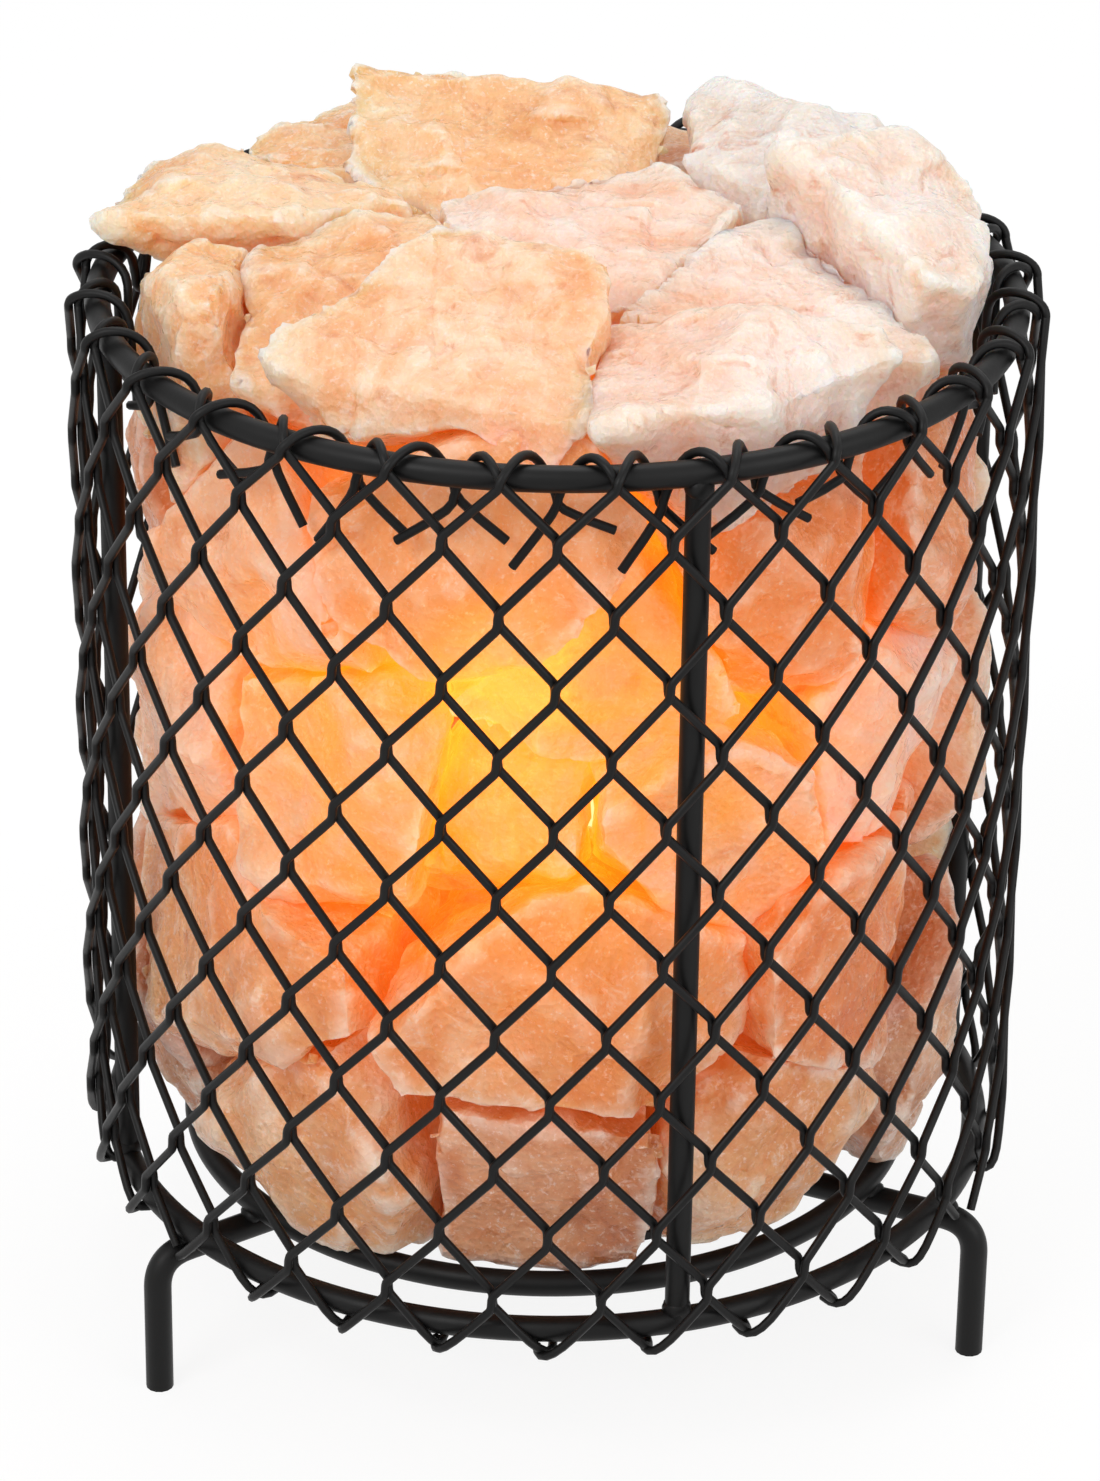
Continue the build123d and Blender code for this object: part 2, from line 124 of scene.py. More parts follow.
class SaltLooks(bpy.types.PropertyGroup):
    """Shape and painted glow of the salt."""

    grain: bpy.props.FloatProperty(
        name="Grain", description="Size of the facets that shape a lump", default=1.15 * MM, unit="LENGTH"
    )
    swell: bpy.props.FloatProperty(
        name="Swell", description="Unevenness of the large faces", default=4.5 * MM, unit="LENGTH"
    )
    scoop: bpy.props.FloatProperty(
        name="Scoop", description="Depth of the shell-shaped breaks", default=2.4 * MM, unit="LENGTH"
    )
    step: bpy.props.FloatProperty(
        name="Step",
        description="Height of the steps between cleavage faces",
        default=1.6 * MM,
        unit="LENGTH",
    )
    chip: bpy.props.FloatProperty(
        name="Chip", description="Depth of the small breaks", default=1.1 * MM, unit="LENGTH"
    )
    pitting: bpy.props.FloatProperty(
        name="Pitting", description="Depth of the small pits", default=0.9 * MM, unit="LENGTH"
    )
    facets: bpy.props.FloatProperty(
        name="Facets",
        description="Share of the faces that is kept, as flat facets",
        default=0.35,
        subtype="FACTOR",
    )
    # Glow painted on the salt as emission, for the bulb's light through it: beside the bulb, and on the
    # heap over the rim
    glow: bpy.props.FloatProperty(
        name="Glow", description="Light that comes through the salt beside the bulb", default=1.0, min=0
    )
    heap_glow: bpy.props.FloatProperty(
        name="Heap glow", description="Light that comes through the salt over the rim", default=0.28, min=0
    )


class HolderSizes(bpy.types.PropertyGroup):
    """Details of the lamp holder and the bulb's screw."""

    rounding: bpy.props.FloatProperty(
        name="Rounding", description="Radius of the moulded edges", default=0.5 * MM, unit="LENGTH"
    )
    flutes: bpy.props.IntProperty(
        name="Flutes", description="Finger flutes round the cap", default=24, min=3
    )
    flute: bpy.props.FloatProperty(
        name="Flute", description="Diameter of a finger flute", default=2.2 * MM, unit="LENGTH"
    )
    flute_margin: bpy.props.FloatProperty(
        name="Flute margin",
        description="Plain band above and below the flutes",
        default=3.0 * MM,
        unit="LENGTH",
    )
    skirt_step: bpy.props.FloatProperty(
        name="Skirt step",
        description="From the barrel's side out to the cap's",
        default=2.6 * MM,
        unit="LENGTH",
    )
    thread: bpy.props.FloatProperty(
        name="Thread", description="Pitch of the bulb's screw", default=2.82 * MM, unit="LENGTH"
    )


class StageLooks(bpy.types.PropertyGroup):
    """Camera and light."""

    pitch: bpy.props.FloatProperty(
        name="Pitch",
        description="How far the camera looks down",
        default=math.radians(26.53),
        subtype="ANGLE",
    )
    distance: bpy.props.FloatProperty(
        name="Distance",
        description="From the camera to the basket's middle",
        default=922.3 * MM,
        unit="LENGTH",
    )
    middle: bpy.props.FloatProperty(
        name="Middle", description="Height that the camera turns about", default=100.5 * MM, unit="LENGTH"
    )
    lens: bpy.props.FloatProperty(
        name="Lens", description="Focal length on a sensor 36 mm wide", default=134.61, unit="CAMERA"
    )
    aim_right: bpy.props.FloatProperty(
        name="Aim right",
        description="Turn of the camera off the axis",
        default=math.radians(0.0141),
        subtype="ANGLE",
    )
    aim_down: bpy.props.FloatProperty(
        name="Aim down",
        description="Tilt of the camera off the middle",
        default=math.radians(0.1272),
        subtype="ANGLE",
    )
    roll: bpy.props.FloatProperty(
        name="Roll", description="Roll of the camera", default=math.radians(0.79), subtype="ANGLE"
    )
    light: bpy.props.FloatProperty(
        name="Light", description="Strength of the studio lamps", default=1.0, min=0
    )


def linear(text):
    """An sRGB hex colour as a linear RGBA."""
    shares = [int(text[place : place + 2], 16) / 255 for place in (1, 3, 5)]
    return tuple(c / 12.92 if c <= 0.04045 else ((c + 0.055) / 1.055) ** 2.4 for c in shares) + (1.0,)


def add_node(tree, kind, inputs=None, stops=None, **settings):
    """Add a node, set its options, and fill its sockets with values or links."""
    made = tree.nodes.new(kind)
    for name, value in settings.items():
        setattr(made, name, value)
    for number, (place, colour) in enumerate(stops or []):
        ramp = made.color_ramp.elements
        stop = ramp[number] if number < 2 else ramp.new(place)
        stop.position = place
        stop.color = linear(colour)
    for name, value in (inputs or {}).items():
        if isinstance(value, bpy.types.NodeSocket):
            tree.links.new(value, made.inputs[name])
        else:
            made.inputs[name].default_value = value
    return made


def new_material(name):
    """An empty node material, its tree and its output."""
    material = bpy.data.materials.new(name)
    material.use_nodes = True
    tree = material.node_tree
    tree.nodes.clear()
    output = add_node(tree, "ShaderNodeOutputMaterial")
    return material, tree, output


def black_powder_coat():
    """Steel rod with a baked black powder coat: satin, with the fine orange peel of the melted powder."""
    material, tree, output = new_material("black_powder_coat")
    place = add_node(tree, "ShaderNodeTexCoord").outputs["Object"]
    peel = add_node(
        tree,
        "ShaderNodeTexNoise",
        {"Vector": place, "Scale": 1 / (1.1 * MM), "Detail": 3.0, "Roughness": 0.6},
    )
    patches = add_node(
        tree,
        "ShaderNodeTexNoise",
        {"Vector": place, "Scale": 1 / (14 * MM), "Detail": 4.0, "Roughness": 0.65},
    )
    tone = add_node(
        tree,
        "ShaderNodeValToRGB",
        {"Fac": patches.outputs["Fac"]},
        stops=[(0.3, "#070707"), (0.7, "#100F0F")],
    )
    gloss = add_node(
        tree,
        "ShaderNodeMapRange",
        {"Value": patches.outputs["Fac"], "From Min": 0.3, "From Max": 0.7, "To Min": 0.40, "To Max": 0.55},
    )
    bump = add_node(
        tree, "ShaderNodeBump", {"Height": peel.outputs["Fac"], "Strength": 0.25, "Distance": 0.12 * MM}
    )
    shader = add_node(
        tree,
        "ShaderNodeBsdfPrincipled",
        {
            "Base Color": tone.outputs["Color"],
            "Roughness": gloss.outputs["Result"],
            "IOR": 1.5,
            "Specular IOR Level": 0.22,
            "Normal": bump.outputs["Normal"],
        },
    )
    tree.links.new(shader.outputs["BSDF"], output.inputs["Surface"])
    return material


def salt_colour(tree, place, pale, body, deep):
    """Clouds, rust veins, iron specks, white veils, white frost that is partly painted glints, and frosted
    edges whitened partly as painted light through narrow crystal: the colour, and its clouds alone.
    """
    clouds = add_node(
        tree,
        "ShaderNodeTexNoise",
        {"Vector": place, "Scale": 1 / (24 * MM), "Detail": 7.0, "Roughness": 0.64, "Distortion": 1.0},
    )
    veins = add_node(
        tree,
        "ShaderNodeTexNoise",
        {"Vector": place, "Scale": 1 / (13 * MM), "Detail": 5.0, "Roughness": 0.68, "Distortion": 1.8},
    )
    specks = add_node(tree, "ShaderNodeTexVoronoi", {"Vector": place, "Scale": 1 / (21 * MM)})
    folded = add_node(
        tree,
        "ShaderNodeVectorMath",
        {0: veins.outputs["Color"], 1: (30 * MM, 30 * MM, 30 * MM), 2: place},
        operation="MULTIPLY_ADD",
    )
    crystals = add_node(
        tree, "ShaderNodeTexVoronoi", {"Vector": folded.outputs["Vector"], "Scale": 1 / (7 * MM)}
    )
    frost_and_glints = add_node(
        tree,
        "ShaderNodeTexNoise",
        {"Vector": place, "Scale": 1 / (0.9 * MM), "Detail": 4.0, "Roughness": 0.7},
    )
    edges = add_node(tree, "ShaderNodeNewGeometry").outputs["Pointiness"]
    colour = add_node(
        tree,
        "ShaderNodeValToRGB",
        {"Fac": clouds.outputs["Fac"]},
        stops=[(0.36, pale), (0.66, deep), (0.5, body)],
    ).outputs["Color"]
    # What the layer follows, where it starts and is full, its most, and its tone
    layers = (
        (veins.outputs["Fac"], 0.56, 0.72, 0.7, "#CC7434"),
        (specks.outputs["Distance"], 0.10, 0.05, 0.75, "#C2602A"),
        (crystals.outputs["Distance"], 0.30, 0.05, 0.45, "#FFF3E8"),
        # White frost, partly painted glints
        (frost_and_glints.outputs["Fac"], 0.57, 0.68, 0.5, "#FFF6EE"),
        # Frosted edges, whitened partly as painted light through narrow crystal
        (edges, 0.51, 0.57, 0.7, "#FFF4EA"),
    )
    for source, none, full, most, tone in layers:
        share = add_node(
            tree,
            "ShaderNodeMapRange",
            {"Value": source, "From Min": none, "From Max": full, "To Min": 0.0, "To Max": most},
        )
        mixed = add_node(
            tree,
            "ShaderNodeMix",
            {"Factor": share.outputs["Result"], "A": colour, "B": linear(tone)},
            data_type="RGBA",
        )
        colour = mixed.outputs["Result"]
    return colour, clouds.outputs["Fac"]


def salt_relief(tree, place):
    """The sugary surface of broken crystal: pointed grains of 1 to 3 mm, each with its own gloss."""
    crystals = add_node(tree, "ShaderNodeTexVoronoi", {"Vector": place, "Scale": 1 / (2.8 * MM)})
    grains = add_node(tree, "ShaderNodeTexVoronoi", {"Vector": place, "Scale": 1 / (1.2 * MM)})
    grit = add_node(
        tree,
        "ShaderNodeTexNoise",
        {"Vector": place, "Scale": 1 / (0.8 * MM), "Detail": 4.0, "Roughness": 0.7},
    )
    height = add_node(
        tree,
        "ShaderNodeMath",
        {0: crystals.outputs["Distance"], 1: grains.outputs["Distance"]},
        operation="ADD",
    )
    height = add_node(
        tree, "ShaderNodeMath", {0: grit.outputs["Fac"], 1: height.outputs["Value"]}, operation="ADD"
    )
    bump = add_node(
        tree, "ShaderNodeBump", {"Height": height.outputs["Value"], "Strength": 0.7, "Distance": 0.5 * MM}
    )
    gloss = add_node(
        tree,
        "ShaderNodeMapRange",
        {"Value": grains.outputs["Color"], "To Min": 0.16, "To Max": 0.60},
    )
    return bump.outputs["Normal"], gloss.outputs["Result"]


def painted_bulb_glow(tree, place, clouds, glow):
    """Painted glow for the bulb's light through the salt: its share, the colour it takes on, and its
    strength.
    """
    away = add_node(tree, "ShaderNodeVectorMath", {0: place, 1: PAINTED_GLOW_CENTRE}, operation="DISTANCE")
    near = add_node(
        tree,
        "ShaderNodeMapRange",
        {
            "Value": away.outputs["Value"],
            "From Min": 16 * MM,
            "From Max": 112 * MM,
            "To Min": 1.0,
            "To Max": 0.0,
        },
    )
    falling = add_node(tree, "ShaderNodeMath", {0: near.outputs["Result"], 1: 1.9}, operation="POWER")
    uneven = add_node(
        tree,
        "ShaderNodeMapRange",
        {"Value": clouds, "From Min": 0.3, "From Max": 0.7, "To Min": 0.6, "To Max": 1.3},
    )
    # A painted bright spot round a second place
    aside = add_node(tree, "ShaderNodeVectorMath", {0: place, 1: PAINTED_SPOT_CENTRE}, operation="DISTANCE")
    painted_spot = add_node(
        tree,
        "ShaderNodeMapRange",
        {
            "Value": aside.outputs["Value"],
            "From Min": 3 * MM,
            "From Max": 19 * MM,
            "To Min": 0.6,
            "To Max": 0.0,
        },
        interpolation_type="SMOOTHSTEP",
    )
    reaching = add_node(
        tree, "ShaderNodeMath", {0: falling.outputs["Value"], 1: painted_spot.outputs["Result"]}, operation="ADD"
    )
    lit = add_node(
        tree,
        "ShaderNodeMath",
        {0: reaching.outputs["Value"], 1: uneven.outputs["Result"]},
        operation="MULTIPLY",
        use_clamp=True,
    )
    light = add_node(
        tree,
        "ShaderNodeValToRGB",
        {"Fac": lit.outputs["Value"]},
        stops=[(0.0, "#DC6A32"), (1.0, "#FFD84E"), (0.38, "#FA9632"), (0.72, "#FFBE22")],
    )
    strength = add_node(tree, "ShaderNodeMath", {0: lit.outputs["Value"], 1: glow}, operation="MULTIPLY")
    return lit.outputs["Value"], light.outputs["Color"], strength.outputs["Value"]


def rock_salt(name, pale, body, deep, clear, glow):
    """Rock salt, mined and broken: cloudy crystal, white to rust, sugary on its breaks, with the bulb's
    light painted on as a glow from inside.
    """
    material, tree, output = new_material(name)
    place = add_node(tree, "ShaderNodeTexCoord").outputs["Object"]
    colour, clouds = salt_colour(tree, place, pale, body, deep)
    normal, gloss = salt_relief(tree, place)
    lit, light, strength = painted_bulb_glow(tree, place, clouds, glow)
    # Painted glow: emission in the glow's colour and the salt's, and the base colour painted orange where
    # the glow is strong
    through = add_node(
        tree,
        "ShaderNodeMix",
        {"Factor": 0.65, "A": light, "B": colour},
        data_type="RGBA",
        blend_type="MULTIPLY",
    )
    painted_glow_tint = add_node(
        tree, "ShaderNodeMix", {"Factor": lit, "A": colour, "B": linear("#E08433")}, data_type="RGBA"
    )
    shader = add_node(
        tree,
        "ShaderNodeBsdfPrincipled",
        {
            "Base Color": painted_glow_tint.outputs["Result"],
            "Roughness": gloss,
            "IOR": 1.54,
            "Subsurface Weight": clear,
            "Subsurface Radius": (1.0, 0.6, 0.38),
            "Subsurface Scale": 11 * MM,
            "Coat Weight": 0.35,
            "Coat Roughness": 0.12,
            "Coat IOR": 1.54,
            "Coat Normal": normal,
            "Emission Color": through.outputs["Result"],
            "Emission Strength": strength,
            "Normal": normal,
        },
    )
    tree.links.new(shader.outputs["BSDF"], output.inputs["Surface"])
    return material


def moulded_plastic():
    """Thermoset lamp-holder plastic, moulded: ivory, nearly matt, with a fine spark-eroded grain."""
    material, tree, output = new_material("ivory_thermoset")
    place = add_node(tree, "ShaderNodeTexCoord").outputs["Object"]
    grain = add_node(
        tree,
        "ShaderNodeTexNoise",
        {"Vector": place, "Scale": 1 / (0.5 * MM), "Detail": 3.0, "Roughness": 0.6},
    )
    tone = add_node(
        tree,
        "ShaderNodeValToRGB",
        {"Fac": grain.outputs["Fac"]},
        stops=[(0.3, "#E4E0D4"), (0.7, "#F0EDE4")],
    )
    bump = add_node(
        tree, "ShaderNodeBump", {"Height": grain.outputs["Fac"], "Strength": 0.2, "Distance": 0.05 * MM}
    )
    shader = add_node(
        tree,
        "ShaderNodeBsdfPrincipled",
        {
            "Base Color": tone.outputs["Color"],
            "Roughness": 0.55,
            "IOR": 1.5,
            "Normal": bump.outputs["Normal"],
        },
    )
    tree.links.new(shader.outputs["BSDF"], output.inputs["Surface"])
    return material


def drawn_metal(name, dark, bright, grain_mm):
    """Sheet metal drawn or rolled to shape: satin, with fine lines along the tool's way."""
    material, tree, output = new_material(name)
    place = add_node(tree, "ShaderNodeTexCoord").outputs["Object"]
    lines = add_node(tree, "ShaderNodeMapping", {"Vector": place, "Scale": (0.2, 0.2, 1.0)})
    grain = add_node(
        tree,
        "ShaderNodeTexNoise",
        {"Vector": lines.outputs["Vector"], "Scale": 1 / (grain_mm * MM), "Detail": 4.0, "Roughness": 0.6},
    )
    tone = add_node(
        tree, "ShaderNodeValToRGB", {"Fac": grain.outputs["Fac"]}, stops=[(0.3, dark), (0.7, bright)]
    )
    gloss = add_node(
        tree,
        "ShaderNodeMapRange",
        {"Value": grain.outputs["Fac"], "From Min": 0.3, "From Max": 0.7, "To Min": 0.25, "To Max": 0.42},
    )
    shader = add_node(
        tree,
        "ShaderNodeBsdfPrincipled",
        {"Base Color": tone.outputs["Color"], "Metallic": 1.0, "Roughness": gloss.outputs["Result"]},
    )
    tree.links.new(shader.outputs["BSDF"], output.inputs["Surface"])
    return material


def lit_glass():
    """Frosted bulb glass with the lamp lit: brightest beside the filament and warmer towards its ends."""
    material, tree, output = new_material("lit_bulb_glass")
    place = add_node(tree, "ShaderNodeTexCoord").outputs["Object"]
    low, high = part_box("bulb_filament")
    away = add_node(
        tree, "ShaderNodeVectorMath", {0: place, 1: (Vector(low) + Vector(high)) / 2}, operation="DISTANCE"
    )
    near = add_node(
        tree,
        "ShaderNodeMapRange",
        {
            "Value": away.outputs["Value"],
            "From Min": 10 * MM,
            "From Max": 36 * MM,
            "To Min": 1.0,
            "To Max": 0.0,
        },
        interpolation_type="SMOOTHSTEP",
    )
    frost = add_node(
        tree,
        "ShaderNodeTexNoise",
        {"Vector": place, "Scale": 1 / (1.2 * MM), "Detail": 3.0, "Roughness": 0.6},
    )
    colour = add_node(
        tree,
        "ShaderNodeValToRGB",
        {"Fac": near.outputs["Result"]},
        stops=[(0.0, "#EFB060"), (1.0, "#FFE3A2"), (0.5, "#FFCB7A")],
    )
    strength = add_node(
        tree, "ShaderNodeMapRange", {"Value": near.outputs["Result"], "To Min": 0.35, "To Max": 1.2}
    )
    bump = add_node(
        tree, "ShaderNodeBump", {"Height": frost.outputs["Fac"], "Strength": 0.15, "Distance": 0.05 * MM}
    )
    shader = add_node(
        tree,
        "ShaderNodeBsdfPrincipled",
        {
            "Base Color": colour.outputs["Color"],
            "Roughness": 0.3,
            "IOR": 1.52,
            "Emission Color": colour.outputs["Color"],
            "Emission Strength": strength.outputs["Result"],
            "Normal": bump.outputs["Normal"],
        },
    )
    tree.links.new(shader.outputs["BSDF"], output.inputs["Surface"])
    return material


def dark_glass():
    """Black pressed glass between the bulb's cap and its contact: glossy, with flow lines."""
    material, tree, output = new_material("black_pressed_glass")
    place = add_node(tree, "ShaderNodeTexCoord").outputs["Object"]
    flow = add_node(tree, "ShaderNodeTexNoise", {"Vector": place, "Scale": 1 / (3 * MM), "Detail": 2.0})
    tone = add_node(
        tree, "ShaderNodeValToRGB", {"Fac": flow.outputs["Fac"]}, stops=[(0.3, "#0C0A0E"), (0.7, "#1C1820")]
    )
    shader = add_node(
        tree,
        "ShaderNodeBsdfPrincipled",
        {"Base Color": tone.outputs["Color"], "Roughness": 0.15, "IOR": 1.52},
    )
    tree.links.new(shader.outputs["BSDF"], output.inputs["Surface"])
    return material


def glowing_wire():
    """Tungsten coil at working heat."""
    material, tree, output = new_material("hot_filament")
    place = add_node(tree, "ShaderNodeTexCoord").outputs["Object"]
    coil = add_node(tree, "ShaderNodeTexNoise", {"Vector": place, "Scale": 1 / (0.8 * MM)})
    colour = add_node(
        tree, "ShaderNodeValToRGB", {"Fac": coil.outputs["Fac"]}, stops=[(0.3, "#FFC060"), (0.7, "#FFE2A0")]
    )
    shader = add_node(
        tree,
        "ShaderNodeBsdfPrincipled",
        {
            "Base Color": colour.outputs["Color"],
            "Roughness": 0.5,
            "Emission Color": colour.outputs["Color"],
            "Emission Strength": 20.0,
        },
    )
    tree.links.new(shader.outputs["BSDF"], output.inputs["Surface"])
    return material


def material_named(name, make, *values):
    """The material of that name, made on first use."""
    return bpy.data.materials.get(name) or make(*values)


def powder_coat():
    """The basket's black finish."""
    return material_named("black_powder_coat", black_powder_coat)


def activate(piece):
    """Select one piece alone."""
    bpy.ops.object.select_all(action="DESELECT")
    piece.select_set(True)
    bpy.context.view_layer.objects.active = piece


def apply_all(piece):
    """Apply the piece's modifiers in order."""
    activate(piece)
    for modifier in list(piece.modifiers):
        bpy.ops.object.modifier_apply(modifier=modifier.name)


def settle(piece, name, body, material, slot, *nodes):
    """Name a finished piece, put its place into its mesh, and let it stand for its nodes."""
    activate(piece)
    bpy.ops.object.transform_apply(location=True, rotation=True, scale=True)
    piece.name = name
    piece.data.name = name
    piece.data.materials.clear()
    piece.data.materials.append(material)
    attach(piece, body)
    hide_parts(*nodes)
    return piece


def polar(azimuth, radius, height):
    """A point at an azimuth in degrees, counted from the front towards the right."""
    angle = math.radians(azimuth)
    return Vector((radius * math.sin(angle), -radius * math.cos(angle), height))


def join(pieces):
    """Join pieces into the first of them."""
    bpy.ops.object.select_all(action="DESELECT")
    for piece in pieces:
        piece.select_set(True)
    bpy.context.view_layer.objects.active = pieces[0]
    bpy.ops.object.join()
    return pieces[0]


def merged_copy(node, name):
    """A copy of a node's block with its loose triangles merged, ready to be worked on."""
    piece = bpy.data.objects.new(name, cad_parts[node].data.copy())
    bpy.context.scene.collection.objects.link(piece)
    activate(piece)
    bpy.ops.object.mode_set(mode="EDIT")
    bpy.ops.mesh.select_all(action="SELECT")
    bpy.ops.mesh.remove_doubles(threshold=0.02 * MM)
    bpy.ops.mesh.normals_make_consistent(inside=False)
    bpy.ops.object.mode_set(mode="OBJECT")
    return piece


def weld_bead(place, width, height):
    """A small lump of weld metal under the coat."""
    bpy.ops.mesh.primitive_ico_sphere_add(subdivisions=3, radius=1.0, location=place)
    bead = bpy.context.object
    bead.scale = (width, width, height)
    bpy.ops.object.transform_apply(location=True, rotation=True, scale=True)
    lumps = bpy.data.textures.get("weld_lumps") or bpy.data.textures.new("weld_lumps", "CLOUDS")
    lumps.noise_scale = 2.0 * MM
    push = bead.modifiers.new("lumps", "DISPLACE")
    push.texture = lumps
    push.texture_coords = "LOCAL"
    push.strength = 1.0 * MM
    apply_all(bead)
    bpy.ops.object.shade_smooth()
    return bead


def round_wire(routes, radius, sides, steps):
    """Wires of one thickness along smooth routes, as one mesh."""
    bpy.ops.object.select_all(action="DESELECT")
    bpy.ops.curve.primitive_nurbs_path_add(location=(0, 0, 0))
    wire = bpy.context.object
    wire.data.splines.clear()
    for route in routes:
        spline = wire.data.splines.new("NURBS")
        spline.points.add(len(route) - 1)
        for point, place in zip(spline.points, route):
            point.co = (*place, 1.0)
        spline.order_u = 3
        spline.use_endpoint_u = True
        spline.resolution_u = steps
    wire.data.dimensions = "3D"
    wire.data.twist_mode = "MINIMUM"
    wire.data.bevel_depth = radius
    wire.data.bevel_resolution = sides
    wire.data.use_fill_caps = True
    activate(wire)
    bpy.ops.object.convert(target="MESH")
    wire = bpy.context.object
    bpy.ops.object.shade_smooth_by_angle(angle=math.radians(50))
    return wire


class LAMP_OT_rods(bpy.types.Operator):
    """Rings, uprights and legs of coated steel rod, with their welds"""

    bl_idname = "lamp.rods"
    bl_label = "Rods"

    def execute(self, context):
        sizes = context.scene.basket_sizes
        coat = powder_coat()
        rings = (
            ("top_ring", sizes.ring_radius, sizes.rim_height),
            ("bottom_ring", sizes.ring_radius, sizes.base_height),
            ("inner_ring", sizes.inner_ring_radius, sizes.base_height),
        )
        for node, radius, height in rings:
            bpy.ops.object.select_all(action="DESELECT")
            bpy.ops.mesh.primitive_torus_add(
                major_radius=radius,
                minor_radius=sizes.ring_rod / 2,
                major_segments=192,
                minor_segments=18,
                location=(0, 0, height),
            )
            ring = context.object
            bpy.ops.object.shade_smooth()
            bead = sizes.ring_rod * 0.55
            seam = weld_bead(polar(RING_SEAM, radius, height), bead, bead)
            settle(join([ring, seam]), "coated_" + node, "basket", coat, "frame_black", node)
        parts = []
        for number in range(4):
            azimuth = FRONT_STRUT + 90 * number
            bpy.ops.object.select_all(action="DESELECT")
            bpy.ops.mesh.primitive_cylinder_add(
                vertices=24,
                radius=sizes.strut_rod / 2,
                depth=sizes.rim_height - sizes.base_height,
                location=polar(azimuth, sizes.ring_radius, (sizes.rim_height + sizes.base_height) / 2),
            )
            bpy.ops.object.shade_smooth_by_angle(angle=math.radians(40))
            parts.append(context.object)
            bead = sizes.strut_rod * 0.58
            top = polar(azimuth, sizes.ring_radius, sizes.rim_height - sizes.ring_rod * 0.55)
            foot = polar(azimuth, sizes.ring_radius, sizes.base_height + sizes.ring_rod * 0.55)
            parts.append(weld_bead(top, bead, bead))
            parts.append(weld_bead(foot, bead, bead))
        settle(join(parts), "coated_struts", "basket", coat, "frame_black", "struts")
        parts = []
        bar = sizes.base_height - sizes.ring_rod / 2 - sizes.leg_rod / 2 - 0.05 * MM
        bend = 9 * MM
        knee = 3 * MM
        out = sizes.leg_circle
        for azimuth in LEGS:
            route = [
                polar(azimuth, out, 0),
                polar(azimuth, out, 6 * MM),
                polar(azimuth, out, bar - bend),
                polar(azimuth, out, bar - knee),
                polar(azimuth, out - knee, bar),
                polar(azimuth, out - bend, bar),
                polar(azimuth, sizes.leg_end + bend, bar),
                polar(azimuth, sizes.leg_end, bar),
            ]
            leg = round_wire([route], sizes.leg_rod / 2, 5, 8)
            edge = leg.modifiers.new("rounding", "BEVEL")
            edge.width = 0.9 * MM
            edge.segments = 3
            edge.limit_method = "ANGLE"
            edge.angle_limit = math.radians(60)
            apply_all(leg)
            parts.append(leg)
            for radius in (sizes.ring_radius, sizes.inner_ring_radius):
                place = polar(azimuth, radius, bar + sizes.leg_rod * 0.45)
                parts.append(weld_bead(place, sizes.leg_rod * 0.5, sizes.leg_rod * 0.3))
        settle(join(parts), "coated_legs", "basket", coat, "frame_black", "legs")
        return {"FINISHED"}


